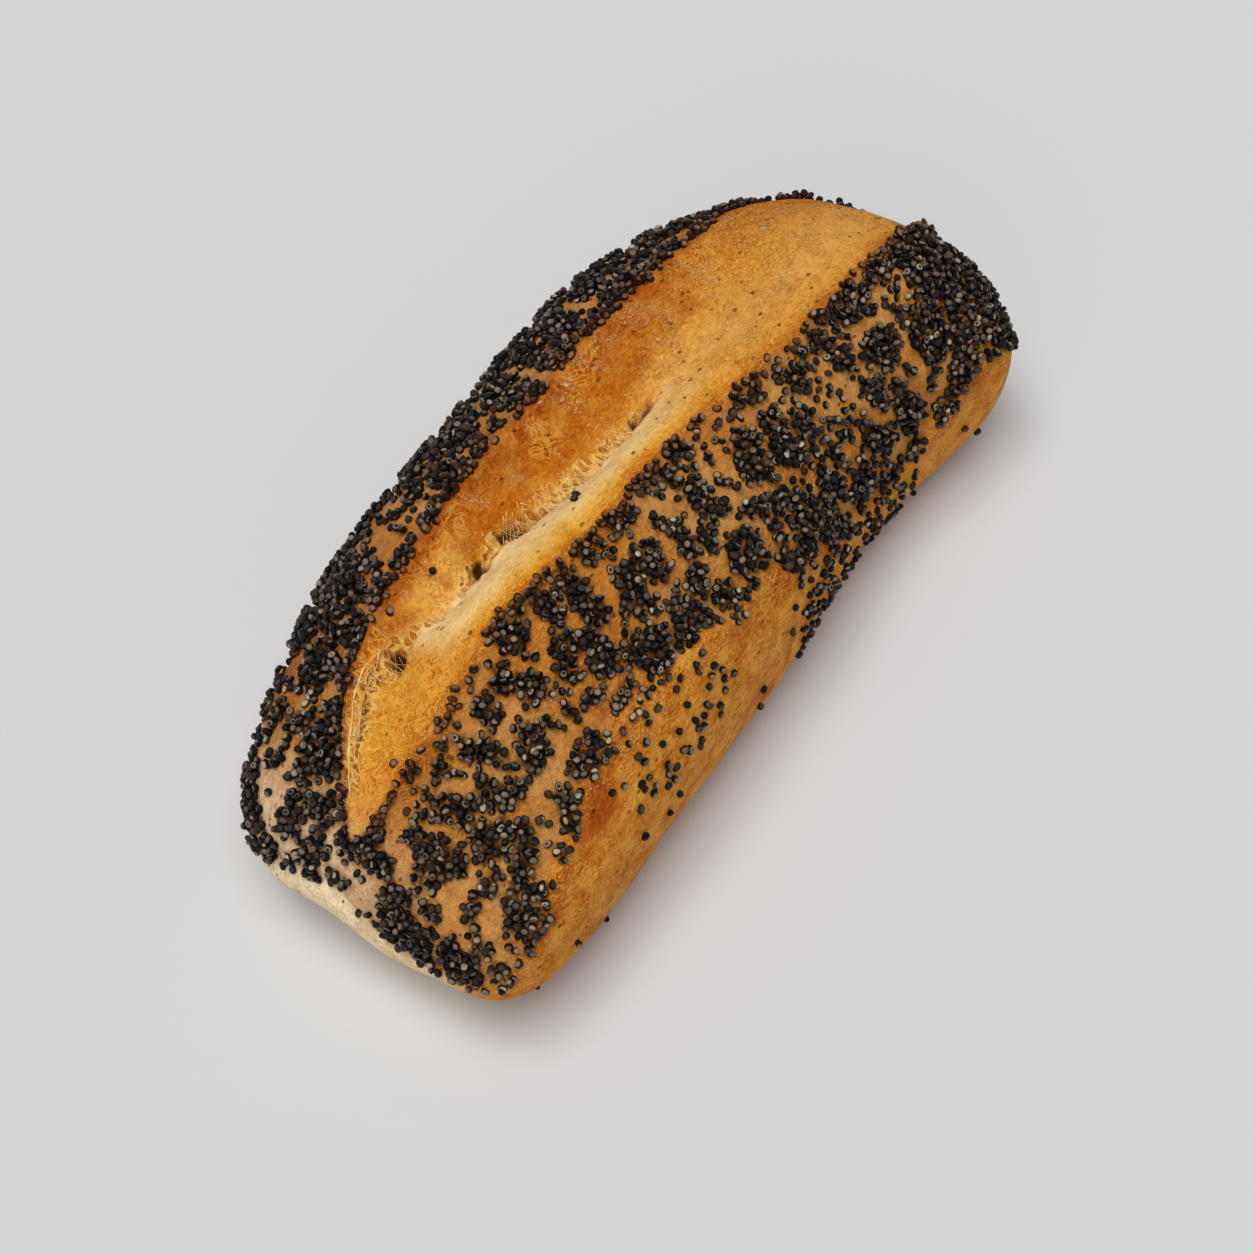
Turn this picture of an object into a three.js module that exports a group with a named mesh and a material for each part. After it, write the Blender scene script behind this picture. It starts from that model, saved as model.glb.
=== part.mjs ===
// A long seeded bread roll, slashed along its crown and baked as one piece.
// Millimetres, +Z up. The roll lies along X and rests on its flat base at Z = 0, under the origin.
// The blunt end is at -X and the rounder end at +X.
import * as THREE from "three";

// Driving dimensions.
const LENGTH = 123;
const BELLY_HEIGHT = 17; // height of the widest line of the flanks
const BASE_CUT = 2.5; // how much of the round underside the tray has pressed flat
const CRUST_COLOR = 0xb9772f;

// The loaf's lines at five even stations, from the blunt end to the round end.
const SPINE_Y = [-6.2, -1.2, 0.4, 1.2, -9.5]; // the roll bends a little, as shaped dough does
const HALF_WIDTH = [23.5, 26.5, 26.8, 25.6, 25.4];
const CROWN_HEIGHT = [33, 40.5, 42.5, 42, 40.5];

// How square each end and each half of a section is: 2 is an ellipse, more is boxier.
const BLUNT_END = { plan: 7.5, side: 3 };
const ROUND_END = { plan: 3.8, side: 3.6 };
const UPPER_SECTION = 2.2;
const LOWER_SECTION = 2.8;

// The open slash, at seven even stations between its two ends.
const SLASH_START_X = -57;
const SLASH_END_X = 55;
const LEFT_LIP_Y = [-2.8, 8, 10, 12, 10.5, 9, 6];
const RIGHT_LIP_Y = [-3.6, -4.2, -6.2, -7.6, -8.8, -10.2, -10];
const CRACK_Y = [-3.2, 4.6, 2.4, 0.6, -2.2, -2.5, -3];
const SLASH_DEPTH = [0, 2.6, 3.6, 3.6, 2.6, 1.6, 0.8];
const SLASH_WALL = 1.4; // 1 is a straight V, more is a rounder trough
const SLASH_CLOSING = 8; // how suddenly the lips meet at the round end

// Facets.
const STATIONS = 56;
const SIDES = 72;

/** A smooth line through evenly spaced values, as a function of the share of the way along it. */
function lineThrough(values) {
  const points = values.map((value, index) => new THREE.Vector3(index, value, 0));
  const curve = new THREE.CatmullRomCurve3(points, false, "catmullrom", 0.5);
  return (share) => curve.getPoint(THREE.MathUtils.clamp(share, 0, 1)).y;
}

const spineAt = lineThrough(SPINE_Y);
const halfWidthAt = lineThrough(HALF_WIDTH);
const crownAt = lineThrough(CROWN_HEIGHT);
const leftLipAt = lineThrough(LEFT_LIP_Y);
const rightLipAt = lineThrough(RIGHT_LIP_Y);
const crackAt = lineThrough(CRACK_Y);
const slashDepthAt = lineThrough(SLASH_DEPTH);

/** The height left of a unit superellipse at this distance from its centre. */
function superellipse(distance, squareness) {
  const rest = 1 - Math.pow(Math.abs(distance), squareness);
  return Math.pow(Math.max(rest, 0), 1 / squareness);
}

/** A cosine or sine swollen towards the square, keeping its sign. */
function swollen(value, squareness) {
  return Math.sign(value) * Math.pow(Math.abs(value), 2 / squareness);
}

/** The unslashed crust: along runs from -1 to 1, and side and rise point round the section. */
function crustPoint(along, side, rise, target) {
  const end = along < 0 ? BLUNT_END : ROUND_END;
  const share = (along + 1) / 2;
  const squareness = rise > 0 ? UPPER_SECTION : LOWER_SECTION;
  const width = halfWidthAt(share) * superellipse(along, end.plan);
  const reach = rise > 0 ? crownAt(share) - BELLY_HEIGHT : BELLY_HEIGHT + BASE_CUT;
  const height = reach * superellipse(along, end.side);
  return target.set(
    (along * LENGTH) / 2,
    spineAt(share) + width * swollen(side, squareness),
    Math.max(BELLY_HEIGHT + height * swollen(rise, squareness), 0)
  );
}

/** How far the slash has opened the crust downwards at a point in plan. */
function slashDepth(x, y) {
  const share = (x - SLASH_START_X) / (SLASH_END_X - SLASH_START_X);
  if (share <= 0 || share >= 1) return 0;
  const crack = crackAt(share);
  const lip = y > crack ? leftLipAt(share) : rightLipAt(share);
  const opening = (lip - crack) * superellipse(share, SLASH_CLOSING);
  const across = Math.abs((y - crack) / opening);
  return across < 1 ? slashDepthAt(share) * (1 - Math.pow(across, SLASH_WALL)) : 0;
}

/** The whole loaf, shaped from a sphere whose poles are the roll's two ends. */
function loafGeometry() {
  const geometry = new THREE.SphereGeometry(1, SIDES, STATIONS);
  geometry.rotateZ(-Math.PI / 2);
  const position = geometry.getAttribute("position");
  const point = new THREE.Vector3();
  for (let i = 0; i < position.count; i += 1) {
    point.fromBufferAttribute(position, i);
    const ring = Math.hypot(point.y, point.z) || 1;
    const rise = point.z / ring;
    crustPoint(point.x, point.y / ring, rise, point);
    if (rise > 0) point.z -= slashDepth(point.x, point.y);
    position.setXYZ(i, point.x, point.y, point.z);
  }
  geometry.computeBoundingBox();
  const middle = geometry.boundingBox.getCenter(new THREE.Vector3());
  geometry.translate(-middle.x, -middle.y, 0);
  geometry.computeVertexNormals();
  return geometry;
}

function crustMaterial() {
  return new THREE.MeshStandardMaterial({ color: CRUST_COLOR, roughness: 0.72, metalness: 0 });
}

const breadRoll = new THREE.Mesh(loafGeometry(), crustMaterial());
breadRoll.name = "bread_roll";

const part = new THREE.Group();
part.add(breadRoll);

export default part;
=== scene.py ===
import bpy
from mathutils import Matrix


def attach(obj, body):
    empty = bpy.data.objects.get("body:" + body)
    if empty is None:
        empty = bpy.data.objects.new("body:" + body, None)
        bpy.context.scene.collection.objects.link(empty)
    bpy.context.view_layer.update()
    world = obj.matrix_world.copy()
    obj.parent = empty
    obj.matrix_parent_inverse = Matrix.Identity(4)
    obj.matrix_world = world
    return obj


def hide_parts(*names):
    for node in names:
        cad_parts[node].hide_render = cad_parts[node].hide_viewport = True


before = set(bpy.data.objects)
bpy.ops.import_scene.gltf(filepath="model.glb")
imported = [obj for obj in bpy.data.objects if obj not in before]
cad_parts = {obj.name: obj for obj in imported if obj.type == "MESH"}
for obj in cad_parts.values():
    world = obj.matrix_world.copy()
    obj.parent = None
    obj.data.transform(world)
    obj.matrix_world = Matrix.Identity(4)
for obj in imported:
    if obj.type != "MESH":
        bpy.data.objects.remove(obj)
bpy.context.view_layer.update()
print("bread roll: frame loaded")

import math

import bpy
import numpy as np
from mathutils import Matrix, Vector, noise
from mathutils.bvhtree import BVHTree
from mathutils.kdtree import KDTree

mm = 0.001


# small helpers, used by every piece

def deselectAll():
    if bpy.context.object and bpy.context.object.mode != "OBJECT":
        bpy.ops.object.mode_set(mode="OBJECT")
    bpy.ops.object.select_all(action="DESELECT")


def pickOnly(thing):
    deselectAll()
    thing.select_set(True)
    bpy.context.view_layer.objects.active = thing


def applyModifier(thing, kind, **settings):
    pickOnly(thing)
    modifier = thing.modifiers.new(kind.title(), kind)
    for name, value in settings.items():
        setattr(modifier, name, value)
    bpy.ops.object.modifier_apply(modifier=modifier.name)


def placesOf(mesh):
    flat = np.empty(len(mesh.vertices) * 3, dtype=np.float64)
    mesh.vertices.foreach_get("co", flat)
    return flat.reshape(-1, 3) / mm


def normalsOf(mesh):
    flat = np.empty(len(mesh.vertices) * 3, dtype=np.float64)
    mesh.vertex_normals.foreach_get("vector", flat)
    return flat.reshape(-1, 3)


def movePlaces(mesh, places):
    mesh.vertices.foreach_set("co", (places * mm).ravel())
    mesh.update()


def addAttribute(mesh, name, values):
    attribute = mesh.attributes.new(name, "FLOAT", "POINT")
    attribute.data.foreach_set("value", np.asarray(values, dtype=np.float32))


def ease(value, low, high):
    share = np.clip((value - low) / (high - low), 0.0, 1.0)
    return share * share * (3.0 - 2.0 * share)


def bell(value, middle, width):
    return np.exp(-(((value - middle) / width) ** 2))


def stretch(value, start, full, fading, end):
    # 1 along a stretch, easing in and out at its ends
    return ease(value, start, full) * (1.0 - ease(value, fading, end))


def lumps(places, size, shift):
    # smooth random lumps from -1 to 1, of about this size in mm
    size = np.broadcast_to(size, 3)
    return np.array([noise.noise(Vector(p / size + shift)) for p in places])


def cellEdge(places, size, shift):
    # how far, in cells, each place lies from the edge of its own cell of scattered points
    size = np.broadcast_to(size, 3)
    edges = []
    for place in places:
        distances, points = noise.voronoi(Vector(place / size + shift))
        apart = (points[1] - points[0]).length
        edges.append((distances[1] ** 2 - distances[0] ** 2) / (2.0 * max(apart, 0.01)))
    return np.array(edges)


def widened(x, width, places):
    # a width that grows by so much, round a place along the roll, over so far
    return sum((more * bell(x, middle, reach) for more, middle, reach in places), width)


def lineThrough(values, start, end, x):
    # a smooth line through evenly spaced values, made as the CAD solid's own lines are
    values = np.asarray(values, dtype=float)
    ends = [2 * values[0] - values[1]], [2 * values[-1] - values[-2]]
    padded = np.concatenate([ends[0], values, ends[1]])
    step = np.clip((x - start) / (end - start), 0.0, 1.0) * (len(values) - 1)
    index = np.minimum(step.astype(int), len(values) - 2)
    t = step - index
    a, b, c, d = (padded[index + offset] for offset in range(4))
    slope = 0.5 * (c - a)
    nextSlope = 0.5 * (d - b)
    curve = (2 * b - 2 * c + slope + nextSlope) * t ** 3
    curve += (3 * c - 3 * b - 2 * slope - nextSlope) * t ** 2
    return curve + slope * t + b


# where the slash and the seeds lie: sizes and places in these dictionaries are in mm
slash = {
    "start": -57.0,
    "end": 63.0,
    "overrun": 1.5,
    "tornEnd": 12.0,         # past here the crack has healed over
    "closing": (12.0, 30.0),  # it narrows over these heights, down the end face
    "lowest": 14.0,
    "farthest": 6.0,         # the most that a place can lie across, in half widths
    "leftLip": [-0.8, 6.6, 9.6, 10.2, 10.8, 11.0, 11.0, 11.0, 10.6, 9.8, 10.2, 7.0, -2.0],
    "rightLip": [-3.4, -3.6, -3.6, -2.9, -5.0, -5.8, -5.8, -7.0, -8.0, -8.3, -8.9, -8.2, -8.6],
    "crack": [-1.6, 4.6, 5.4, 3.9, 3.5, 0.8, 0.5, 0.4, -1.5, -2.2, -2.6, -3.0, -5.0],
    "wander": 0.5,           # how far the torn edges stray from their lines
    "lipDrop": 0.5,
    "dropEdge": (0.9, 1.02),
    "leftEar": 0.6,          # the curled lips: how high, then where across and how wide
    "leftEarLine": (1.12, 0.16),
    "rightEar": 0.3,
    "rightEarLine": (-1.14, 0.18),
    "bulge": 1.1,            # the pale swelling right of the crack
    "bulgeLine": (-0.52, 0.34),
    "bulgeRun": (-48.0, -30.0, 14.0, 40.0),
    "bedWidth": 1.5,         # the shallow torn bed, and the narrow slit in it
    "bedDepth": 0.8,
    "bedWider": [(0.5, -44.0, 9.0)],
    "bedRun": (-56.0, -51.0, 4.0, 11.0),
    "slitWidth": 0.42,
    "slitDepth": 1.6,
    # where the slit opens and how far along, then each hole's x, distance from the crack and size
    "openings": [(7.5, 2.6), (-16.0, 2.6), (-23.0, 2.6), (-37.5, 1.6), (-47.0, 5.0)],
    "holes": [(5.3, 0.1, 0.55), (8.6, 0.2, 0.35), (-13.0, 0.1, 0.35), (-15.6, 0.3, 1.0), (-17.4, 0.5, 0.8),
              (-22.8, 0.3, 1.1), (-37.5, 0.0, 1.0), (-42.8, 1.0, 0.6), (-53.0, -0.9, 0.4)],
    "holeDepth": 1.6,
    "crumbCell": (0.95, 1.35, 1.2),
    "crumbWall": (0.03, 0.24),
    "crumbDepth": 0.55,
    "crumbRun": (-56.0, -51.0, 2.0, 10.0),
    "crumbRight": 0.5,       # how far the crumb shows to each side of the crack
    "crumbRightWider": [(1.0, -46.0, 7.0)],
    "crumbLeft": 0.7,
    "crumbLeftWider": [(1.7, -5.0, 7.0), (1.0, -20.0, 5.0), (1.7, -44.0, 10.0)],
    "crumbGap": (-29.0, 3.5),
}

seedCoat = {
    "start": -61.0,
    "end": 61.0,
    # heights where the seeds stop along each flank, from the blunt end, and at the round end
    "rightBorder": [19.0, 27.5, 33.0, 32.5, 30.0, 22.0, 16.5, 24.0, 22.0],
    "leftBorder": [16.0, 15.0, 13.0, 16.0, 12.0, 15.0, 13.0, 16.0, 14.0],
    "farBorder": 14.0,
    "borderWander": 1.3,
    "islandSize": (5.8, 8.2, 8.2),
    "islandWarp": 1.6,       # how far the islands' outlines bend
    "islandRagged": 0.25,
    "splitHalf": 0.55,       # half the width of the strips between the islands
    "splitChange": 0.60,
    "splitFade": 0.3,
    "crowding": 0.85,        # how far the strips close at the round end's right
    "crowdedFrom": (37.0, 45.0),
    "opening": 0.5,          # and widen along the far right flank
    "openAround": (22.0, 18.0),
    "leftClosing": 0.1,
    "atLips": 0.45,          # how wide they still are beside the slash
    "depth": 0.93,           # how far the skin lies inside the seeds that coat it
    "stripDepth": 0.22,
}

foot = {
    "start": -20.0,          # the crease's heights, across the blunt end
    "end": 20.0,
    "creaseHeight": [15.0, 14.0, 14.0, 16.5, 18.5, 17.0, 14.0, 11.0, 8.0],
    "creaseRun": (-17.0, -8.0, 9.0, 15.0),
    "crease": 0.9,
    "creaseWidth": 0.7,
    "creaseWander": 0.6,
    "swell": 0.4,
    "swellWidth": 2.2,
    "swellBelow": 3.5,
    "tuck": 0.9,
}


def slashLines(x):
    span = slash["start"], slash["end"], x
    along = np.column_stack([x, 0 * x, 0 * x])
    jitter = lumps(along, 4.5, 3.1) * slash["wander"]
    otherJitter = lumps(along, 3.5, 9.7) * slash["wander"]
    left = lineThrough(slash["leftLip"], *span) + jitter
    right = lineThrough(slash["rightLip"], *span) + otherJitter
    crack = lineThrough(slash["crack"], *span) + 0.8 * jitter - 0.5 * otherJitter
    return left, right, crack


def acrossSlash(places):
    # -1 at the right lip, 0 at the crack, 1 at the left lip, and further out beyond them
    x, y, z = places.T
    left, right, crack = slashLines(x)
    closing = ease(z, *slash["closing"])
    left = crack + (left - crack) * closing
    right = crack + (right - crack) * closing
    side = np.where(y > crack, np.maximum(left - crack, 0.05), np.maximum(crack - right, 0.05))
    across = (y - crack) / side
    pastEnd = np.maximum(x - slash["end"] - slash["overrun"], 0.0)
    beyond = np.maximum(slash["start"] - x, 0.0) + pastEnd
    low = np.maximum(slash["lowest"] - z, 0.0)
    across = np.where(across < 0, across - beyond - low, across + beyond + low)
    return np.clip(across, -slash["farthest"], slash["farthest"])


def creaseHeight(places):
    return lineThrough(foot["creaseHeight"], foot["start"], foot["end"], places[:, 1])


def seedBorder(places, normals):
    x = places[:, 0]
    span = seedCoat["start"], seedCoat["end"], x
    right = lineThrough(seedCoat["rightBorder"], *span)
    left = lineThrough(seedCoat["leftBorder"], *span)
    near = creaseHeight(places) + 0.5
    weights = [
        np.clip(-normals[:, 1], 0.01, 1) ** 2,
        np.clip(normals[:, 1], 0.01, 1) ** 2,
        np.clip(-normals[:, 0], 0.01, 1) ** 2,
        np.clip(normals[:, 0], 0.01, 1) ** 2,
    ]
    heights = [right, left, near, seedCoat["farBorder"] + 0 * x]
    border = sum(w * h for w, h in zip(weights, heights)) / sum(weights)
    straight = 1.0 - 0.8 * ease(-normals[:, 0], 0.4, 0.8)  # the border strays less on the blunt end
    return border + seedCoat["borderWander"] * lumps(places, 5.0, 21.0) * straight


def islands(places):
    # 1 inside an island of seeds, 0 along the bare strips where the skin stretched apart
    x, y = places[:, 0], places[:, 1]
    warp = np.column_stack([lumps(places, 4.0, shift) for shift in (31.0, 47.0, 59.0)])
    bent = places + seedCoat["islandWarp"] * warp
    edge = cellEdge(bent, seedCoat["islandSize"], 5.0) * seedCoat["islandSize"][0]
    crowded = ease(x, *seedCoat["crowdedFrom"]) * ease(-y, 0.0, 9.0)
    farLeft = ease(x, -10.0, 20.0) * (1.0 - ease(-y, 2.0, 9.0))
    farRight = bell(x, *seedCoat["openAround"]) * ease(-y, 4.0, 12.0)
    half = seedCoat["splitHalf"] + seedCoat["splitChange"] * lumps(places, 6.0, 71.0)
    closed = (1.0 - seedCoat["crowding"] * crowded) * (1.0 - seedCoat["leftClosing"] * farLeft)
    half *= closed * (1.0 + seedCoat["opening"] * farRight)
    atLips = seedCoat["atLips"]
    half *= atLips + (1.0 - atLips) * ease(np.abs(acrossSlash(places)), 1.1, 1.5)
    half *= 1.0 - 0.20 * ease(-x, 34.0, 46.0)
    ragged = seedCoat["islandRagged"] * lumps(places, 1.5, 83.0)
    return ease(edge + ragged, half, half + seedCoat["splitFade"])


loafMesh = {
    "voxel": 0.68,
    "smoothing": 12,
    "fineSmoothing": 3,      # after the mesh is made finer by the slash
    "slashReach": 1.25,      # in widths of the slash
    "tornReach": 3.4,
    "topStart": 18.0,        # the slash's shape fades in over these heights
    "topFull": 26.0,
    # unevenness of the whole crust: how high, how wide, and which lumps
    "uneven": [(0.32, 13.0, 1.0), (0.16, 6.0, 2.0), (0.05, 2.2, 4.0)],
}


def buildLoaf():
    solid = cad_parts["bread_roll"]
    loaf = bpy.data.objects.new("loaf", solid.data.copy())
    bpy.context.scene.collection.objects.link(loaf)
    loaf.data.materials.clear()
    pickOnly(loaf)
    bpy.ops.object.mode_set(mode="EDIT")
    bpy.ops.mesh.select_all(action="SELECT")
    bpy.ops.mesh.remove_doubles(threshold=1e-6)
    bpy.ops.object.mode_set(mode="OBJECT")
    applyModifier(loaf, "REMESH", mode="VOXEL", voxel_size=loafMesh["voxel"] * mm)
    applyModifier(loaf, "SMOOTH", factor=0.5, iterations=loafMesh["smoothing"])
    refineWhere(loaf, nearSlash)
    refineWhere(loaf, nearCrack)
    applyModifier(loaf, "SMOOTH", factor=0.5, iterations=loafMesh["fineSmoothing"])
    print("bread roll: loaf has", len(loaf.data.polygons), "faces")
    return loaf


def nearSlash(places):
    return (np.abs(acrossSlash(places)) < loafMesh["slashReach"]) & (places[:, 2] > loafMesh["topStart"])


def nearCrack(places):
    x, y, z = places.T
    crack = slashLines(x)[2]
    along = (x > slash["start"] + 1.0) & (x < slash["tornEnd"])
    return along & (np.abs(y - crack) < loafMesh["tornReach"]) & (z > loafMesh["topStart"])


def refineWhere(thing, chooser):
    mesh = thing.data
    chosen = chooser(placesOf(mesh))
    pickOnly(thing)
    bpy.ops.object.mode_set(mode="EDIT")
    bpy.ops.mesh.select_mode(type="VERT")
    bpy.ops.mesh.select_all(action="DESELECT")
    bpy.ops.object.mode_set(mode="OBJECT")
    mesh.vertices.foreach_set("select", chosen)
    bpy.ops.object.mode_set(mode="EDIT")
    bpy.ops.mesh.select_mode(type="FACE")
    bpy.ops.mesh.subdivide(number_cuts=1)
    bpy.ops.object.mode_set(mode="OBJECT")


def sculptLoaf(loaf):
    mesh = loaf.data
    places = placesOf(mesh)
    normals = normalsOf(mesh)
    x, y, z = places.T
    across = acrossSlash(places)
    crack = slashLines(x)[2]
    top = ease(z, loafMesh["topStart"], loafMesh["topFull"])
    inside = 1.0 - ease(np.abs(across), *slash["dropEdge"])
    fromCrack = y - crack
    out = sum(high * lumps(places, wide, shift) for high, wide, shift in loafMesh["uneven"])

    # the slash: a small drop at the lips, curled ears beside them and a swelling right of the crack
    out -= slash["lipDrop"] * inside * top
    leftEar = bell(across, *slash["leftEarLine"]) * ease(-x, -12.0, 18.0)
    rightEar = bell(across, *slash["rightEarLine"])
    out += top * (slash["leftEar"] * leftEar + slash["rightEar"] * rightEar)
    middleRun = stretch(x, *slash["bulgeRun"])
    out += top * slash["bulge"] * bell(across, *slash["bulgeLine"]) * middleRun

    # the torn bed along the crack, with a slit that opens in places, and holes
    ragged = 1.0 + 0.45 * lumps(places, (1.6, 0.9, 0.9), 13.0)
    along = stretch(x, *slash["bedRun"])
    wide = slash["bedWidth"] * widened(x, 1.0, slash["bedWider"])
    out -= slash["bedDepth"] * bell(fromCrack - 0.5, 0.0, wide) * along * ragged * top
    opened = sum(bell(x, middle, width) for middle, width in slash["openings"])
    slit = bell(fromCrack, 0.0, slash["slitWidth"]) * np.clip(opened, 0.0, 1.0) * top
    out -= slash["slitDepth"] * slit * ragged
    hole = sum(bell(np.hypot((x - hx) / 1.3, fromCrack - hy), 0.0, size)
               for hx, hy, size in slash["holes"])
    hole = np.clip(hole, 0.0, 1.0) * ease(1.0 + lumps(places, 0.8, 61.0), 0.4, 1.1)
    out -= slash["holeDepth"] * hole * top

    crumb = crumbShare(places, fromCrack)
    bent = places + 0.5 * np.column_stack([lumps(places, 1.8, shift) for shift in (3.0, 5.0, 7.0)])
    # 0 on the walls between the bubbles of crumb
    pits = ease(cellEdge(bent, slash["crumbCell"], 17.0), *slash["crumbWall"])
    out -= crumb * (slash["crumbDepth"] * pits - 0.15 * lumps(places, 0.7, 23.0)) * top

    # the bare strips between the seed islands lie a little lower
    seeded = seedShare(places, normals, across)
    skin = seeded * ease(np.abs(across), 1.0, 1.5)
    out -= skin * (seedCoat["depth"] + seedCoat["stripDepth"] * (1.0 - islands(places)))

    # the blunt end: a crease over a swollen pale foot
    facing = ease(-normals[:, 0], 0.15, 0.6)
    held = stretch(y, *foot["creaseRun"])
    crease = creaseHeight(places)
    creaseWave = foot["creaseWander"] * lumps(places, 3.0, 27.0)
    out -= foot["crease"] * facing * held * bell(z, crease + creaseWave, foot["creaseWidth"])
    out += foot["swell"] * facing * held * bell(z, crease - foot["swellBelow"], foot["swellWidth"])
    out -= foot["tuck"] * facing * (1.0 - ease(z, 3.0, 16.0)) * ease(y, -14.0, 4.0)

    out *= ease(z, 0.0, 1.5)
    moved = places + normals * out[:, None]
    moved[:, 2] = np.maximum(moved[:, 2], 0.0)
    movePlaces(mesh, moved)

    addAttribute(mesh, "across", across)
    addAttribute(mesh, "crumb", crumb * top)
    addAttribute(mesh, "pits", pits)
    # the holes and the open slit are also painted dark: painted shade in them
    addAttribute(mesh, "hole", np.maximum(hole * top, 0.75 * slit * (x > -30.0)))
    addAttribute(mesh, "seeded", seeded)
    addAttribute(mesh, "pale", paleShare(places, normals))
    addAttribute(mesh, "toast", toastShare(places, normals, across))
    pickOnly(loaf)
    bpy.ops.object.shade_smooth()
    print("bread roll: loaf sculpted")


def crumbShare(places, fromCrack):
    # where the torn inside shows: round the crack, and wide and webby towards the blunt end
    x = places[:, 0]
    along = stretch(x, *slash["crumbRun"])
    rightWide = widened(x, slash["crumbRight"], slash["crumbRightWider"])
    leftWide = widened(x, slash["crumbLeft"], slash["crumbLeftWider"])
    wide = np.where(fromCrack < 0, rightWide, leftWide)
    ragged = 0.7 * lumps(places, (1.6, 0.8, 0.8), 29.0) + 0.7 * lumps(places, 3.0, 33.0)
    band = 1.0 - ease(np.abs(fromCrack) + ragged, 0.3 * wide, 1.25 * wide)
    return along * band * (1.0 - 0.8 * bell(x, *slash["crumbGap"]))


def seedShare(places, normals, across):
    border = seedBorder(places, normals)
    above = ease(places[:, 2], border - 0.8, border + 1.2)
    return above * ease(np.abs(across), 1.04, 1.14)


def paleShare(places, normals):
    # the blunt end baked palest, most of all its foot
    x, y, z = places.T
    crease = creaseHeight(places)
    corner = ease(-x, 46.0, 60.0) * ease(y, -18.0, 4.0) * (1.0 - ease(z, 22.0, 32.0))
    onFoot = ease(-normals[:, 0], 0.1, 0.5) * (1.0 - ease(z, crease - 0.6, crease + 0.8))
    return np.clip(0.5 * corner + onFoot * ease(y, -24.0, -12.0), 0.0, 1.0)


# x, y and size of single browned spots
toastSpots = [(18.0, 6.0, 1.2), (22.5, 7.6, 0.9), (14.2, -4.6, 0.45), (46.0, -1.0, 0.4), (-40.7, 2.6, 0.7)]


def toastShare(places, normals, across):
    # browner where the oven caught it: by the lips and along the seed border of the right flank
    x, y, z = places.T
    border = seedBorder(places, normals)
    atBorder = bell(z, border - 1.5, 2.2) * ease(-normals[:, 1], 0.2, 0.6)
    patches = 0.5 + 0.9 * lumps(places, 7.0, 37.0)
    atLips = bell(np.abs(across), 1.05, 0.14) * ease(z, 22.0, 28.0)
    ragged = 0.5 * lumps(places, 0.9, 43.0)
    spots = sum(bell(np.hypot(x - sx, y - sy) + ragged, 0.0, size) for sx, sy, size in toastSpots)
    return np.clip(1.2 * atBorder * patches + 0.8 * atLips + 0.8 * spots * ease(z, 18.0, 26.0), 0.0, 1.0)


seedShape = {
    "randomSeed": 20,
    "segments": 8,
    "rings": 5,
    "length": 1.18,
    "width": 1.00,
    "thickness": 0.92,
    "dent": 0.12,            # on the seed's inner side
    "flatFace": 1.06,        # the flat face that most seeds show
    "poleHeight": 0.40,
    "variation": 0.19,
    "sunk": 0.16,
    "tilt": 1.3,
    "heapTilt": 0.6,
    "spacing": 0.74,         # between seed middles in the first layer, and up to this much more
    "spacingSpread": 0.16,
    "heapSpacing": 0.86,
    "heapSpread": 0.26,
    "heapRise": 0.54,
    "tries": 150000,
    # the skin under seeds that crowd this near is painted dark: painted shade
    "crowdReach": 1.15,      # the skin is dark where several seeds lie this near
    "bluntEnd": -33.0,       # where one piece of seeds ends and the next begins
    "roundEnd": 32.0,
    "roundEndMiddle": -8.0,
    "inStrips": 0.01,        # how many of the seeds lie in the bare strips
    "patch": 0.12,           # then in the sparse patch, the thin run down the flank and anywhere
    "runDown": 0.10,
    "loose": 0.0016,
    "strays": [(-9.9, -0.8), (-9.0, -0.5), (-27.0, 8.0), (-48.7, -2.0), (-28.2, -2.7), (-34.0, 9.2)],
}


def modelSeed():
    deselectAll()
    bpy.ops.mesh.primitive_uv_sphere_add(
        segments=seedShape["segments"], ring_count=seedShape["rings"], radius=0.5)
    seed = bpy.context.object
    mesh = seed.data
    bpy.ops.object.mode_set(mode="EDIT")
    bpy.ops.mesh.select_all(action="SELECT")
    size = (seedShape["length"], seedShape["width"], seedShape["thickness"])
    bpy.ops.transform.resize(value=size)
    bpy.ops.mesh.select_all(action="DESELECT")
    bpy.ops.object.mode_set(mode="OBJECT")
    for vertex in mesh.vertices:
        vertex.select = vertex.co.y < -0.3 and abs(vertex.co.x) < 0.3
    bpy.ops.object.mode_set(mode="EDIT")
    bpy.ops.transform.translate(value=(0, seedShape["dent"], 0))
    bpy.ops.mesh.select_all(action="DESELECT")
    bpy.ops.object.mode_set(mode="OBJECT")
    topRing = [v.index for v in mesh.vertices if 0.25 < v.co.z < 0.38]
    poleIndex = max(mesh.vertices, key=lambda v: v.co.z).index
    for index in topRing:
        mesh.vertices[index].select = True
    bpy.ops.object.mode_set(mode="EDIT")
    bpy.ops.transform.resize(value=(seedShape["flatFace"], seedShape["flatFace"], 1.0))
    bpy.ops.object.mode_set(mode="OBJECT")
    mesh.vertices[poleIndex].co.z = seedShape["poleHeight"]
    corners = np.array([list(v.co) for v in mesh.vertices])
    faces = [list(face.vertices) for face in mesh.polygons]
    onFace = np.zeros(len(corners))
    onFace[topRing] = 1.0
    onPole = np.zeros(len(corners))
    onPole[poleIndex] = 1.0
    bpy.data.objects.remove(seed)
    return corners, faces, onFace, onPole


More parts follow.
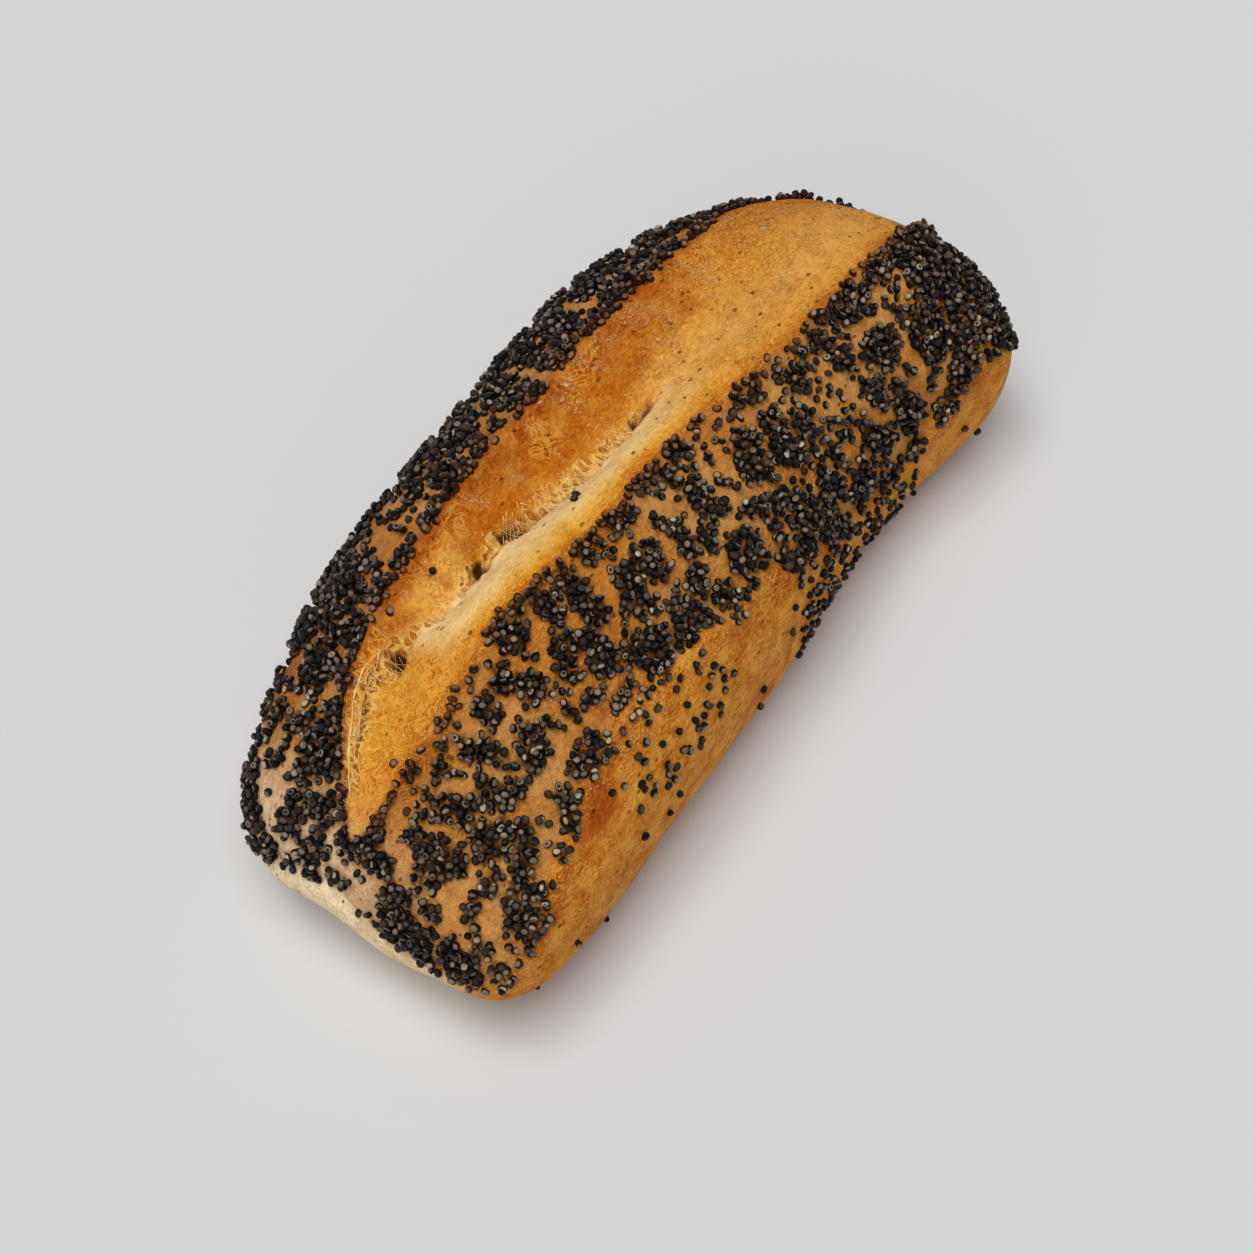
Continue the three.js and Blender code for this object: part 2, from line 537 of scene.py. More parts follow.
def scatter(loaf, random, count):
    # points spread evenly over the loaf's surface, with their normals, in mm
    mesh = loaf.data
    mesh.calc_loop_triangles()
    places = placesOf(mesh)
    normals = normalsOf(mesh)
    corners = np.empty(len(mesh.loop_triangles) * 3, dtype=np.int64)
    mesh.loop_triangles.foreach_get("vertices", corners)
    corners = corners.reshape(-1, 3)
    a, b, c = (places[corners[:, k]] for k in range(3))
    areas = np.linalg.norm(np.cross(b - a, c - a), axis=1)
    chosen = random.choice(len(areas), size=count, p=areas / areas.sum())
    u = random.random(count)
    v = random.random(count)
    flip = u + v > 1.0
    u[flip] = 1.0 - u[flip]
    v[flip] = 1.0 - v[flip]
    weights = np.column_stack([1.0 - u - v, u, v])
    picked = corners[chosen]
    spots = np.einsum("nk,nkd->nd", weights, places[picked])
    facing = np.einsum("nk,nkd->nd", weights, normals[picked])
    return spots, facing / np.linalg.norm(facing, axis=1)[:, None]


def thinOut(spots, spacing):
    # keeps the spots that stand at least their spacing from every spot kept before
    taken = {}
    chosen = []
    steps = [(dx, dy, dz) for dx in (-1, 0, 1) for dy in (-1, 0, 1) for dz in (-1, 0, 1)]
    for index, ((x, y, z), gap) in enumerate(zip(spots.tolist(), spacing.tolist())):
        cell = math.floor(x), math.floor(y), math.floor(z)
        around = [(cell[0] + dx, cell[1] + dy, cell[2] + dz) for dx, dy, dz in steps]
        near = (other for key in around if key in taken for other in taken[key])
        if all((x - a) ** 2 + (y - b) ** 2 + (z - c) ** 2 >= gap * gap for a, b, c in near):
            taken.setdefault(cell, []).append((x, y, z))
            chosen.append(index)
    return np.array(chosen, dtype=int)


def seedDensity(spots, facing):
    x, y, z = spots.T
    across = acrossSlash(spots)
    border = seedBorder(spots, facing)
    outside = ease(np.abs(across), 1.03, 1.1)
    inStrips = seedShape["inStrips"]
    dense = ease(z, border - 1.0, border + 0.8) * (inStrips + (1.0 - inStrips) * islands(spots))
    patch = seedShape["patch"] * ease(z, 20.0, 24.0) * bell(x, -22.0, 9.0) * ease(-y, 10.0, 16.0)
    runDown = seedShape["runDown"] * ease(x, 2.0, 8.0) * (1.0 - ease(x, 32.0, 38.0)) * ease(z, 3.0, 9.0)
    loose = seedShape["loose"] * ease(z, 4.0, 10.0)
    sparse = np.maximum(patch, runDown * (facing[:, 1] < 0)) * (0.5 + 0.8 * lumps(spots, 3.5, 41.0))
    bare = paleFoot(spots, facing)
    return np.clip(np.maximum(dense, np.maximum(sparse, loose)) * outside * (1.0 - bare), 0.0, 1.0)


def paleFoot(spots, facing):
    return (facing[:, 0] < -0.35) & (spots[:, 2] < creaseHeight(spots) - 0.3) & (spots[:, 1] < 12.0)


def buildSeeds(loaf):
    random = np.random.default_rng(seedShape["randomSeed"])
    spots, facing = scatter(loaf, random, seedShape["tries"])
    density = seedDensity(spots, facing)
    wanted = random.random(len(spots)) < density
    spots, facing, density = spots[wanted], facing[wanted], density[wanted]
    gaps = seedShape["spacing"] + seedShape["spacingSpread"] * random.random(len(spots))
    first = thinOut(spots, gaps)
    base, baseFacing = spots[first], facing[first]

    # a second layer, heaped on the middles of the thickest islands
    heap = (density > 0.9) & (lumps(spots, 3.0, 53.0) > -0.25)
    raised = spots[heap] + facing[heap] * seedShape["heapRise"]
    gaps = seedShape["heapSpacing"] + seedShape["heapSpread"] * random.random(len(raised))
    second = thinOut(raised, gaps)
    tree = surfaceTree(loaf)
    strays = np.array([(x, y, dropOn(tree, x, y)) for x, y in seedShape["strays"]])
    straysFacing = np.tile([0.0, 0.0, 1.0], (len(strays), 1))
    places = np.concatenate([base, raised[second], strays])
    outward = np.concatenate([baseFacing, facing[heap][second], straysFacing])
    onTop = np.concatenate([np.zeros(len(base)), np.ones(len(second)), np.zeros(len(strays))])
    print("bread roll:", len(base), "seeds and", len(second), "heaped on them")

    shadeUnderSeeds(loaf, places)
    seed = modelSeed()
    x, y = places[:, 0], places[:, 1]
    blunt = x < seedShape["bluntEnd"]
    rounded = x >= seedShape["roundEnd"]
    middle = ~blunt & ~rounded
    roundLeft = y > seedShape["roundEndMiddle"]
    regions = {
        "poppy_seeds_blunt_end_left": blunt & (y > 0.0),
        "poppy_seeds_blunt_end_right": blunt & (y <= 0.0),
        "poppy_seeds_left_side": middle & (y > 0.0),
        "poppy_seeds_right_side": middle & (y <= 0.0),
        "poppy_seeds_round_end_left": rounded & roundLeft,
        "poppy_seeds_round_end_right": rounded & ~roundLeft,
    }
    return [joinSeeds(name, seed, places[here], outward[here], onTop[here], random)
            for name, here in regions.items()]


def shadeUnderSeeds(loaf, places):
    # how thickly the seeds crowd over each point of the skin, for the painted shade between them
    tree = KDTree(len(places))
    for index, place in enumerate(places):
        tree.insert(place, index)
    tree.balance()
    spots = placesOf(loaf.data)
    crowd = [len(tree.find_range(spot, seedShape["crowdReach"])) for spot in spots]
    addAttribute(loaf.data, "underSeeds", ease(np.array(crowd), 2.5, 5.5))


def joinSeeds(name, seed, places, outward, onTop, random):
    # every seed of one region, each turned its own way, as one mesh
    corners, faces, onFace, onPole = seed
    count = len(places)
    spin = random.random(count) * 2 * math.pi
    tilt = (random.random((count, 2)) - 0.5) * (seedShape["tilt"] + seedShape["heapTilt"] * onTop[:, None])
    size = 1.0 + seedShape["variation"] * (2 * random.random((count, 3)) - 1.0)
    tone = random.random(count)
    dust = random.random(count)
    hollow = random.random(count)
    allPlaces = []
    for k in range(count):
        turn = Vector(outward[k]).to_track_quat("Z", "Y").to_matrix()
        turn = turn @ Matrix.Rotation(spin[k], 3, "Z")
        turn = turn @ Matrix.Rotation(tilt[k, 0], 3, "X") @ Matrix.Rotation(tilt[k, 1], 3, "Y")
        rise = 0.5 * seedShape["thickness"] - seedShape["sunk"]
        middle = places[k] + outward[k] * rise
        allPlaces.append((corners * size[k]) @ np.array(turn).T + middle)
    allPlaces = np.concatenate(allPlaces)
    perSeed = len(corners)
    allFaces = [[corner + perSeed * k for corner in face] for k in range(count) for face in faces]
    mesh = bpy.data.meshes.new(name)
    mesh.from_pydata((allPlaces * mm).tolist(), [], allFaces)
    piece = bpy.data.objects.new(name, mesh)
    bpy.context.scene.collection.objects.link(piece)
    across = np.abs(acrossSlash(places))
    ruddy = bell(across, 1.05, 0.2) * ease(places[:, 2], 24.0, 30.0)
    # the seeds' flat top faces and most of their poles are painted lighter: painted light from above
    bloom = 0.85 * onFace[None, :] + onPole[None, :] * ease(hollow, 0.05, 0.45)[:, None]
    addAttribute(mesh, "grain", np.repeat(tone, perSeed))
    addAttribute(mesh, "dust", np.repeat(dust, perSeed))
    addAttribute(mesh, "ruddy", np.repeat(ruddy, perSeed))
    addAttribute(mesh, "bloom", bloom.ravel())
    pickOnly(piece)
    bpy.ops.object.shade_smooth()
    print("bread roll:", name, count, "seeds,", len(mesh.polygons), "faces")
    return piece


class Wire:
    # one value in a finish, so that its sums can be written as sums
    def __init__(self, finish, socket):
        self.finish = finish
        self.socket = socket

    def work(self, operation, first, second=0.0, clamp=False):
        settings = {"operation": operation, "use_clamp": clamp}
        return self.finish.node("Math", settings, {0: first, 1: second})

    def __add__(self, other):
        return self.work("ADD", self, other)

    def __radd__(self, other):
        return self.work("ADD", other, self)

    def __sub__(self, other):
        return self.work("SUBTRACT", self, other)

    def __rsub__(self, other):
        return self.work("SUBTRACT", other, self)

    def __mul__(self, other):
        return self.work("MULTIPLY", self, other)

    def __truediv__(self, other):
        return self.work("DIVIDE", self, other)

    def size(self):
        # the value without its sign
        return self.work("ABSOLUTE", self)

    def clipped(self):
        return self.work("ADD", self, 0.0, clamp=True)

    def ease(self, low, high):
        settings = {"interpolation_type": "SMOOTHSTEP"}
        return self.finish.node("MapRange", settings, {"Value": self, "From Min": low, "From Max": high})


class Finish:
    def __init__(self, name):
        self.material = bpy.data.materials.new(name)
        self.material.use_nodes = True
        self.tree = self.material.node_tree
        self.tree.nodes.clear()
        self.place = self.node("TexCoord", {}, {}, "Object")

    def node(self, kind, settings, links, out=0):
        made = self.tree.nodes.new("ShaderNode" + kind)
        for name, value in settings.items():
            if name == "stops":
                self.setStops(made.color_ramp, value)
            else:
                setattr(made, name, value)
        for name, value in links.items():
            if isinstance(value, Wire):
                self.tree.links.new(value.socket, made.inputs[name])
            else:
                made.inputs[name].default_value = value
        return Wire(self, made.outputs[out]) if made.outputs else None

    def setStops(self, ramp, stops):
        ramp.elements.remove(ramp.elements[1])
        ramp.elements[0].position, ramp.elements[0].color = stops[0]
        for position, colour in stops[1:]:
            ramp.elements.new(position).color = colour

    def attribute(self, name):
        return self.node("Attribute", {"attribute_name": name}, {}, "Fac")

    def stretched(self, scale, turn=(0.0, 0.0, 0.0)):
        return self.node("Mapping", {}, {"Vector": self.place, "Scale": scale, "Rotation": turn})

    def noise(self, scale, detail=4.0, rough=0.5, where=None, twist=0.0):
        links = {"Vector": where or self.place, "Scale": scale, "Detail": detail}
        links.update({"Roughness": rough, "Distortion": twist})
        return self.node("TexNoise", {}, links, "Fac")

    def dots(self, scale, where=None, feature="F1"):
        links = {"Vector": where or self.place, "Scale": scale}
        return self.node("TexVoronoi", {"feature": feature}, links, "Distance")

    def ramp(self, value, stops):
        return self.node("ValToRGB", {"stops": stops}, {"Fac": value}, "Color")

    def mix(self, share, first, second, how="MIX"):
        settings = {"data_type": "RGBA", "blend_type": how}
        return self.node("Mix", settings, {0: share, 6: first, 7: second}, 2)

    def bump(self, height, distance):
        return self.node("Bump", {}, {"Height": height, "Distance": distance * mm}, "Normal")

    def surface(self, links):
        return self.node("BsdfPrincipled", {}, links, "BSDF")

    def finishWith(self, shader):
        self.node("OutputMaterial", {}, {"Surface": shader})
        return self.material


def paint(red, green, blue):
    # a colour as a painter reads it, 0 to 255, turned into light
    def light(value):
        value = value / 255.0
        return value / 12.92 if value <= 0.04045 else ((value + 0.055) / 1.055) ** 2.4
    return (light(red), light(green), light(blue), 1.0)


crustTones = {
    "seededTan": paint(200, 140, 76),
    "seededBrown": paint(182, 106, 38),
    "flank": paint(206, 116, 20),
    "flankLight": paint(220, 148, 60),
    "toasted": paint(160, 66, 4),
    "pale": paint(254, 236, 204),
    "pore": paint(104, 46, 6),
    "tornCream": paint(236, 192, 108),
    "tornShade": paint(176, 104, 18),
    # painted shade on the skin under crowded seeds
    "underSeeds": paint(26, 14, 8),
    "fibre": paint(250, 190, 80),
    "cream": paint(250, 214, 148),
    "gold": paint(232, 174, 84),
    "blotch": paint(176, 84, 6),
    # a painted highlight colour, for sparkles and glints
    "paintedHighlight": paint(252, 218, 158),
    # painted shade for the holes and the open slit
    "hole": paint(66, 28, 4),
}

# each runs from the right lip to the left lip
scoreTones = [
    (0.00, paint(200, 98, 6)),
    (0.08, paint(214, 134, 18)),
    (0.17, paint(230, 172, 68)),
    (0.27, paint(246, 206, 134)),
    (0.49, paint(250, 218, 162)),
    (0.53, paint(220, 150, 48)),
    (0.62, paint(188, 94, 0)),
    (0.88, paint(180, 86, 0)),
    (1.00, paint(164, 70, 2)),
]

farScoreTones = [
    (0.00, paint(200, 108, 14)),
    (0.15, paint(216, 144, 54)),
    (0.50, paint(222, 160, 84)),
    (0.75, paint(206, 130, 46)),
    (1.00, paint(180, 88, 8)),
]

nearScoreTones = [
    (0.00, paint(190, 92, 8)),
    (0.20, paint(206, 118, 10)),
    (0.38, paint(214, 136, 26)),
    (0.50, paint(226, 166, 74)),
    (0.62, paint(226, 178, 106)),
    (0.80, paint(210, 132, 40)),
    (1.00, paint(170, 76, 6)),
]


# noise in the crust: scale, detail and how rough, and stretched grains: scale along, across and up
crustGrain = {
    "broad": (70.0, 3.0),
    "mottle": (300.0, 6.0, 0.62),
    "fine": (1700.0, 5.0, 0.65),
    "strokes": (700.0, 2300.0, 2300.0),
    "blotches": (210.0, 5.0, 0.68),
    "blotchGroups": (60.0, 2.0),
    "curls": (110.0, 2.0),
    "paintedSparkles": (1100.0, 1700.0, 1700.0),
    "paintedSparkleGroups": (240.0, 3.0),
    "pores": (480.0, 800.0, 800.0),
    "poreGroups": (260.0, 2.0),
    "glintGroups": (230.0, 3.0, 0.6),
    "blisters": (1300.0, 3.0, 0.6),
    "bump": 0.45,            # in mm
    "matt": {"Roughness": 0.7, "Specular IOR Level": 0.06},
    "shiny": {"Roughness": 0.18, "Specular IOR Level": 0.6},
}


def crustFinish():
    f = Finish("baked_crust")
    x = f.node("SeparateXYZ", {}, {"Vector": f.place}, "X") / mm
    across = f.attribute("across")
    crumb = f.attribute("crumb")
    seeded = f.attribute("seeded")
    pale = f.attribute("pale")
    toast = f.attribute("toast")
    hole = f.attribute("hole")

    broad = f.noise(*crustGrain["broad"])
    mottle = f.noise(*crustGrain["mottle"])
    fine = f.noise(*crustGrain["fine"])
    along = f.noise(1.0, 4.0, 0.5, f.stretched(crustGrain["strokes"]), 1.4)
    strokes = (1.0 - (along * 2.0 - 1.0).size()).ease(0.88, 0.97)  # thin light lines
    creases = 1.0 - along.ease(0.34, 0.42)
    curl = f.noise(400.0, 3.0, 0.5, None, 2.4)
    swirls = (1.0 - (curl * 2.0 - 1.0).size()).ease(0.84, 0.98)
    nearPart = (0.0 - x + (broad - 0.5) * 12.0).ease(31.0, 38.0)

    # the seeded skin and the bare flanks
    skin = f.mix(broad.ease(0.38, 0.62), crustTones["seededTan"], crustTones["seededBrown"])
    flank = f.mix(mottle.ease(0.36, 0.66), crustTones["flank"], crustTones["flankLight"])
    colour = f.mix(seeded, flank, skin)
    colour = f.mix((toast * (0.35 + mottle)).clipped(), colour, crustTones["toasted"])
    colour = f.mix((pale * 1.1 + (mottle - 0.5) * 0.6 * pale).clipped(), colour, crustTones["pale"])

    # the slash, pale by the crack and golden at the lips
    spread = ((across + (mottle - 0.5) * 0.4 + (broad - 0.5) * 0.4) * 0.5 + 0.5).clipped()
    farShare = (x + (broad - 0.5) * 24.0 - across.ease(0.1, 0.6) * 12.0).ease(1.0, 20.0)
    score = f.mix(farShare, f.ramp(spread, scoreTones), f.ramp(spread, farScoreTones))
    score = f.mix(nearPart, score, f.ramp(spread, nearScoreTones))
    paleBand = 1.0 - (x + 28.5 + (broad - 0.5) * 14.0).size().ease(2.0, 7.0)
    rightWall = across.ease(-0.85, -0.45) * (1.0 - across.ease(-0.05, 0.1)) * (1.0 - nearPart)
    paleRight = paleBand * (1.0 - across.ease(0.0, 0.3)) * across.ease(-0.9, -0.5)
    paleLeft = paleBand * across.ease(0.0, 0.2) * (1.0 - across.ease(0.5, 0.95))
    creamy = (rightWall * (1.0 - farShare) + paleRight).clipped()
    score = f.mix(paleLeft * 0.7, score, crustTones["gold"])
    inside = 1.0 - (across.size() + (fine - 0.5) * 0.08).ease(0.98, 1.05)
    inside = inside * (0.25 + x.ease(-56.0, -48.0) * 0.75)
    colour = f.mix(inside, colour, score)
    # the crumb's pits are painted darker than its walls: painted shade in them
    torn = f.mix(f.attribute("pits").ease(0.1, 0.8), crustTones["tornCream"], crustTones["tornShade"])
    colour = f.mix((crumb * 1.3 + (mottle - 0.5) * 0.6 * crumb).ease(0.25, 0.8), colour, torn)

    # mottling, fine fibres and swirls, then pores
    blotches = f.noise(*crustGrain["blotches"]).ease(0.50, 0.62)
    blotches = blotches * f.noise(*crustGrain["blotchGroups"]).ease(0.42, 0.54)
    bare = 1.0 - seeded * 0.5
    calm = 1.0 - creamy * inside * 0.25
    shade = f.mix(creamy * inside, (0.62, 0.42, 0.18, 1.0), (0.74, 0.58, 0.34, 1.0))
    colour = f.mix(blotches * inside * (0.50 - creamy * 0.42), colour, crustTones["blotch"])
    darker = f.mix(1.0, colour, shade, "MULTIPLY")
    lighter = f.mix(0.6, colour, f.mix(creamy * inside, crustTones["fibre"], crustTones["cream"]))
    colour = f.mix((1.0 - mottle.ease(0.36, 0.52)) * 0.5 * calm, colour, darker)
    colour = f.mix((1.0 - fine.ease(0.36, 0.50)) * (0.5 - nearPart * inside * 0.25), colour, darker)
    colour = f.mix(creases * 0.7 * bare * calm, colour, darker)
    colour = f.mix(mottle.ease(0.50, 0.66) * 0.34 * bare, colour, lighter)
    onLeft = across.ease(0.1, 0.4) * (1.0 - farShare)
    colour = f.mix(strokes * bare * broad.ease(0.30, 0.50) * (0.9 - onLeft * 0.6), colour, lighter)
    colour = f.mix(fine.ease(0.56, 0.68) * (0.40 - onLeft * 0.15), colour, lighter)
    curled = f.noise(*crustGrain["curls"]).ease(0.48, 0.60) * across.ease(-0.5, 0.2) * 0.6
    swirled = (nearPart * 0.7 + paleBand * 0.3 + 0.15 + curled).clipped()
    colour = f.mix(swirls * inside * swirled, colour, lighter)
    # small bright specks painted into the colour: painted sparkle highlights
    paintedSparkles = 1.0 - f.dots(1.0, f.stretched(crustGrain["paintedSparkles"])).ease(0.12, 0.26)
    paintedSparkles = paintedSparkles * f.noise(*crustGrain["paintedSparkleGroups"]).ease(0.54, 0.66) * bare
    colour = f.mix(paintedSparkles * 0.65, colour, crustTones["paintedHighlight"])
    poreShape = f.dots(1.0, f.stretched(crustGrain["pores"], (0.0, 0.0, 0.4)))
    pores = (1.0 - poreShape.ease(0.12, 0.20)) * f.noise(*crustGrain["poreGroups"]).ease(0.48, 0.56)
    colour = f.mix(pores * 0.75, colour, crustTones["pore"])
    # painted shade in the holes and the open slit
    colour = f.mix(hole.ease(0.35, 0.75) * 0.9, colour, crustTones["hole"])
    # painted shade on the skin between and under crowded seeds
    colour = f.mix(f.attribute("underSeeds") * 0.9, colour, crustTones["underSeeds"])

    # a baked glaze that shines on small blisters and curls, most of all on the left wall
    thread = f.noise(760.0, 2.0, 0.5, None, 1.6)
    glints = (1.0 - (thread * 2.0 - 1.0).size()).ease(0.93, 0.985)
    glazedSide = (across.ease(0.1, 0.6) + farShare * 0.35).clipped()
    glints = glints * f.noise(*crustGrain["glintGroups"]).ease(0.50, 0.60) * inside * glazedSide
    # the glints are also painted into the colour: painted highlights
    colour = f.mix(glints * 0.5, colour, crustTones["paintedHighlight"])
    blister = f.noise(*crustGrain["blisters"])
    leftWall = across.ease(0.15, 0.6) * inside
    glazed = leftWall * 0.35 + inside * farShare * 0.35 + inside * 0.1 + 0.2
    shine = glazed * (blister * 0.7 + mottle * 0.3).ease(0.59, 0.62) + glints * 0.25
    height = mottle * 0.9 + strokes * 0.05 + fine * 0.18 + blister * 0.34 - pores * 0.4
    height = height + swirls * nearPart * 0.16 + paintedSparkles * 0.2 + glints * 0.3
    both = {"Base Color": colour, "Normal": f.bump(height, crustGrain["bump"])}
    matt = f.surface({**both, **crustGrain["matt"]})
    shiny = f.surface({**both, **crustGrain["shiny"]})
    return f.finishWith(f.node("MixShader", {}, {0: shine.clipped(), 1: matt, 2: shiny}))


seedTones = [
    (0.00, paint(4, 4, 5)),
    (0.50, paint(12, 11, 11)),
    (0.80, paint(30, 25, 22)),
    (1.00, paint(70, 46, 30)),
]

# lighter greys for the seeds' top faces: painted light from above
paintedLightTones = [
    (0.00, paint(24, 20, 18)),
    (0.30, paint(70, 62, 53)),
    (0.60, paint(120, 105, 88)),
    (0.90, paint(160, 142, 118)),
    (1.00, paint(206, 190, 162)),
]


seedGrain = {
    "fine": (2600.0, 3.0, 0.6),
    "web": 5200.0,
    "ruddyPaintedLight": paint(150, 92, 50),
    "ruddySkin": paint(60, 24, 10),
    "specular": 0.16,
    "bump": 0.05,            # in mm
}


def seedFinish():
    f = Finish("poppy_seed_skin")
    ruddy = f.attribute("ruddy")
    fine = f.noise(*seedGrain["fine"])
    web = f.dots(seedGrain["web"], None, "DISTANCE_TO_EDGE")
    # each seed's top face painted a lighter grey: painted light from above
    colour = f.ramp(f.attribute("grain"), seedTones)
    paintedLightColour = f.ramp(f.attribute("dust"), paintedLightTones)
    paintedLightColour = f.mix(ruddy * 0.75, paintedLightColour, seedGrain["ruddyPaintedLight"])
    colour = f.mix(ruddy * 0.4, colour, seedGrain["ruddySkin"])
    bloom = f.attribute("bloom").ease(0.30, 1.0)
    colour = f.mix((bloom * (0.45 + fine * 0.9)).clipped(), colour, paintedLightColour)
    height = web.ease(0.0, 0.2) * 0.5 + fine * 0.5
    return f.finishWith(f.surface({
        "Base Color": colour,
        "Roughness": (0.22 + fine * 0.3).clipped(),
        "Specular IOR Level": seedGrain["specular"],
        "Normal": f.bump(height, seedGrain["bump"]),
    }))


strands = {
    "randomSeed": 7,
    "count": 130,
    "thickness": 0.032,
    "shortest": 0.35,        # as a share of the longest
    "longest": 3.6,
    "lean": 3.0,
    "sunk": 0.08,            # how deep their ends are set in the crumb
    "clear": 0.03,
    "clumps": [(1.5, 2.5), (-5.0, 4.0), (-10.0, 4.0), (-15.0, 3.0), (-40.0, 4.0), (-47.0, 4.0)],
    "rims": [  # start, end, how far inside the left lip, and how thick
        (-39.5, -51.5, 0.9, 3.6),
        (-37.5, -44.0, 1.6, 2.2),
        (-42.0, -50.0, 1.9, 1.8),
        (-46.0, -54.0, 0.8, 2.4),
    ],
    "points": 5,
    "rimPoints": 9,
}


def buildStrands(loaf):
    random = np.random.default_rng(strands["randomSeed"])
    curve = bpy.data.curves.new("torn_crumb", "CURVE")
    curve.dimensions = "3D"
    curve.bevel_depth = strands["thickness"] * mm
    curve.bevel_resolution = 1
    curve.resolution_u = 3
    curve.use_fill_caps = True
    tree = surfaceTree(loaf)
    made = 0
    for attempt in range(strands["count"]):
        middle, spread = strands["clumps"][attempt % len(strands["clumps"])]
        x = middle + spread * (random.random() + random.random() - 1.0)
        span = np.array([x])
        crack = slashLines(span)[2][0]
        share = strands["shortest"] + (1.0 - strands["shortest"]) * random.random()
        reach = strands["longest"] * share * 0.5
        lean = strands["lean"] * (random.random() - 0.4)
        shift = 0.6 + 1.6 * (random.random() - 0.3)
        points = []
        for step in np.linspace(-1, 1, strands["points"]):
            px = x + lean * step + 0.25 * (random.random() - 0.5)
            py = crack + shift + reach * step + 0.2 * (random.random() - 0.5)
            ground = dropOn(tree, px, py)
            if ground is None:
                break
            points.append((px, py, ground))
        if len(points) < strands["points"]:
            continue
        ends = points[0][2], points[-1][2]
        sag = 0.3 + 0.5 * random.random()
        spline = curve.splines.new("BEZIER")
        last = strands["points"] - 1
        spline.bezier_points.add(last)
        for number, (px, py, ground) in enumerate(points):
            share = number / last
            level = ends[0] * (1 - share) + ends[1] * share - sag * math.sin(math.pi * share)
            between = 0 < number < last
            pz = max(level, ground + strands["clear"]) if between else ground - strands["sunk"]
            point = spline.bezier_points[number]
            point.co = (px * mm, py * mm, pz * mm)
            point.handle_left_type = "AUTO"
            point.handle_right_type = "AUTO"
            point.radius = (0.5 + 0.9 * random.random()) * (0.8 if between else 1.25)
        made += 1
    for start, end, inward, radius in strands["rims"]:
        addRim(curve, tree, random, start, end, inward, radius)
    piece = bpy.data.objects.new("torn_crumb", curve)
    bpy.context.scene.collection.objects.link(piece)
    pickOnly(piece)
    bpy.ops.object.convert(target="MESH")
    piece = bpy.context.object
    bpy.ops.object.shade_smooth()
    print("bread roll:", made, "strands,", len(piece.data.polygons), "faces")
    return piece


def addRim(curve, tree, random, start, end, inward, radius):
    # a pale curled thread along the left lip
    count = strands["rimPoints"]
    spline = curve.splines.new("BEZIER")
    spline.bezier_points.add(count - 1)
    for number, x in enumerate(np.linspace(start, end, count)):
        y = slashLines(np.array([x]))[0][0] - inward + 0.35 * (random.random() - 0.5)
        lift = 0.12 if 0 < number < count - 1 else -0.15
        point = spline.bezier_points[number]
        point.co = (x * mm, y * mm, (dropOn(tree, x, y) + lift) * mm)
        point.handle_left_type = "AUTO"
        point.handle_right_type = "AUTO"
        point.radius = radius * (0.7 + 0.6 * random.random())


def surfaceTree(thing):
    return BVHTree.FromObject(thing, bpy.context.evaluated_depsgraph_get())


def dropOn(tree, x, y):
    hit = tree.ray_cast(Vector((x * mm, y * mm, 0.1)), Vector((0, 0, -1)))[0]
    return None if hit is None else hit.z / mm


crumbGrain = {
    "mottle": (700.0, 4.0, 0.6),
    "shade": paint(222, 170, 90),
    "light": paint(248, 220, 160),
    "roughness": 0.6,
    "specular": 0.2,
    "bump": 0.05,            # in mm
}


def crumbFinish():
    f = Finish("torn_crumb_strands")
    mottle = f.noise(*crumbGrain["mottle"])
    return f.finishWith(f.surface({
        "Base Color": f.mix(mottle.ease(0.35, 0.65), crumbGrain["shade"], crumbGrain["light"]),
        "Roughness": crumbGrain["roughness"],
        "Specular IOR Level": crumbGrain["specular"],
        "Normal": f.bump(mottle, crumbGrain["bump"]),
    }))


# put together, each piece on the part's one body
loaf = buildLoaf()
sculptLoaf(loaf)
loaf.data.materials.append(crustFinish())
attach(loaf, "root")
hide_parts("bread_roll")

seedPieces = buildSeeds(loaf)
seedMaterial = seedFinish()
for piece in seedPieces:
    piece.data.materials.append(seedMaterial)
    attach(piece, "root")

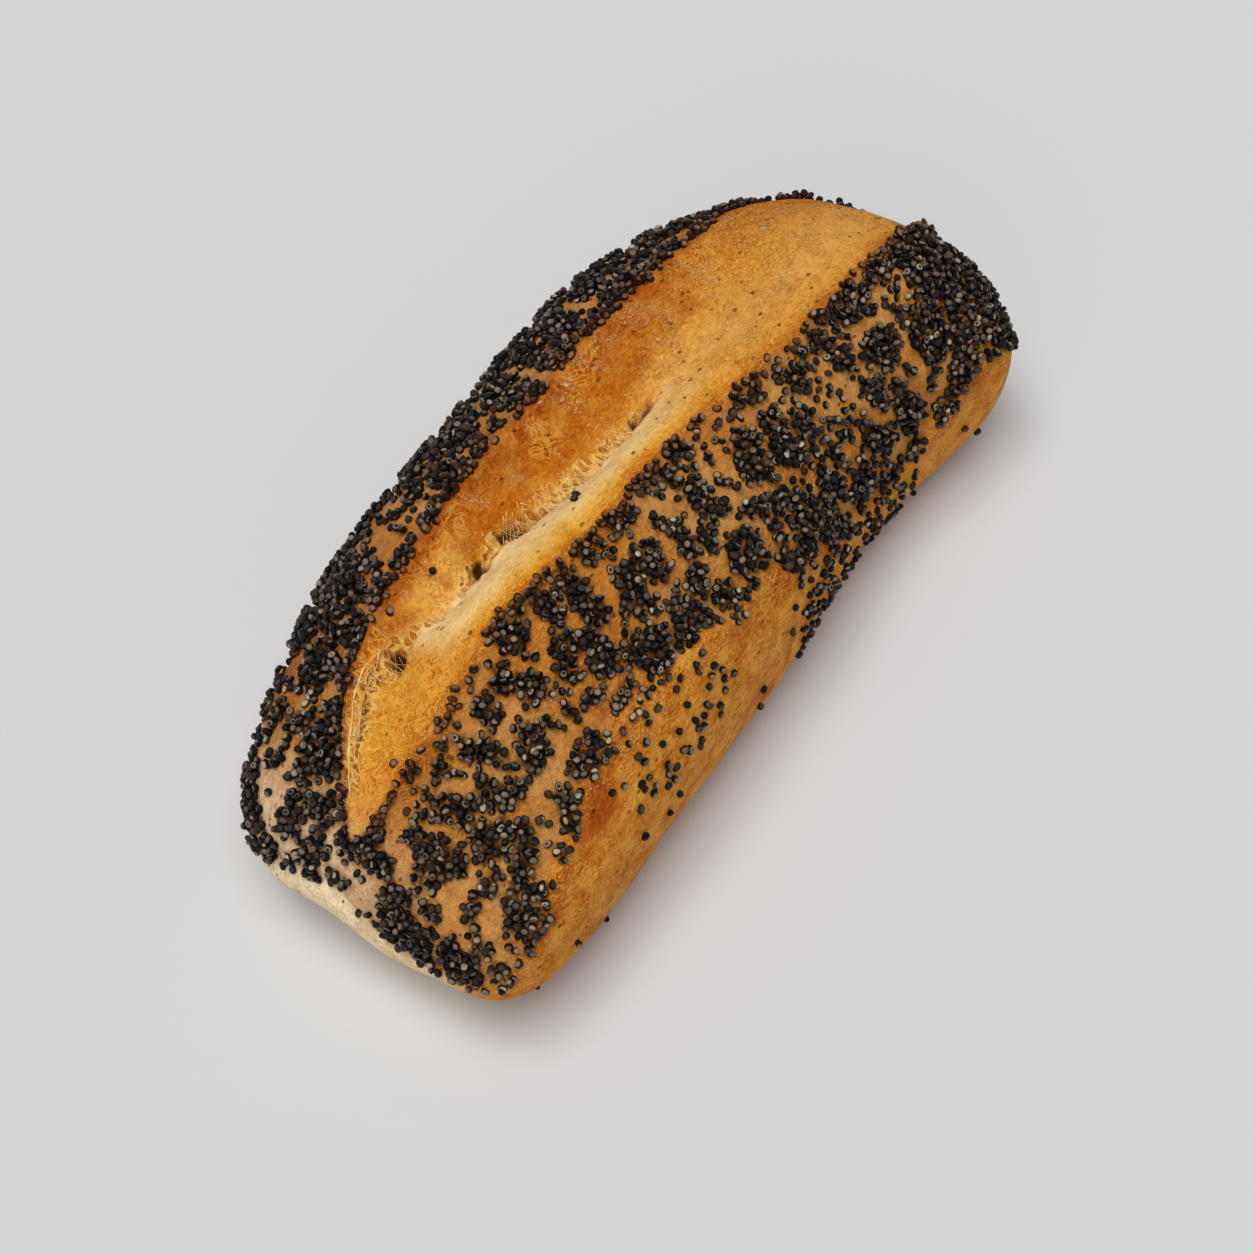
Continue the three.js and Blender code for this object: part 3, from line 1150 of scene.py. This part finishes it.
tornCrumb = buildStrands(loaf)
tornCrumb.data.materials.append(crumbFinish())
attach(tornCrumb, "root")


stage = {
    "floorSize": 40.0,
    "floorTone": paint(212, 212, 213),
    "floorRoughness": 0.9,
    "skyStrength": 0.20,
    "suns": [  # strength, angle across in degrees, and where it shines from
        (2.05, 40.0, (-0.26, -0.10, 1.0)),
        (0.40, 16.0, (-0.20, 0.20, 1.0)),
        (0.60, 60.0, (-1.0, -0.30, 0.35)),
    ],
}


def buildStage():
    deselectAll()
    bpy.ops.mesh.primitive_plane_add(size=stage["floorSize"], location=(0, 0, 0))
    floor = bpy.context.object
    floor.name = "floor"
    f = Finish("plain_floor")
    plain = f.surface({"Base Color": stage["floorTone"], "Roughness": stage["floorRoughness"]})
    floor.data.materials.append(f.finishWith(plain))
    world = bpy.data.worlds.new("studio")
    world.use_nodes = True
    background = world.node_tree.nodes["Background"]
    background.inputs["Color"].default_value = (1.0, 1.0, 1.0, 1.0)
    background.inputs["Strength"].default_value = stage["skyStrength"]
    bpy.context.scene.world = world
    for strength, angle, source in stage["suns"]:
        deselectAll()
        bpy.ops.object.light_add(type="SUN", location=source)
        sun = bpy.context.object
        sun.rotation_euler = Vector(source).to_track_quat("Z", "Y").to_euler()
        sun.data.energy = strength
        sun.data.angle = math.radians(angle)


view = {
    "stand": (-0.1963, -0.1367, 0.3422),  # in metres, as is the aim
    "aim": (-0.0063, -0.0061, 0.0129),
    "lens": 90.0,
    "sensor": 36.0,
    "nearest": 0.01,
}


def buildCamera():
    deselectAll()
    bpy.ops.object.camera_add(location=view["stand"])
    camera = bpy.context.object
    toAim = Vector(view["aim"]) - camera.location
    camera.rotation_euler = toAim.to_track_quat("-Z", "Y").to_euler()
    camera.data.lens = view["lens"]
    camera.data.sensor_width = view["sensor"]
    camera.data.clip_start = view["nearest"]
    bpy.context.scene.camera = camera


buildStage()
buildCamera()
bpy.context.scene.view_settings.view_transform = "Standard"
print("bread roll: stage and camera set")

print("bread roll: done")
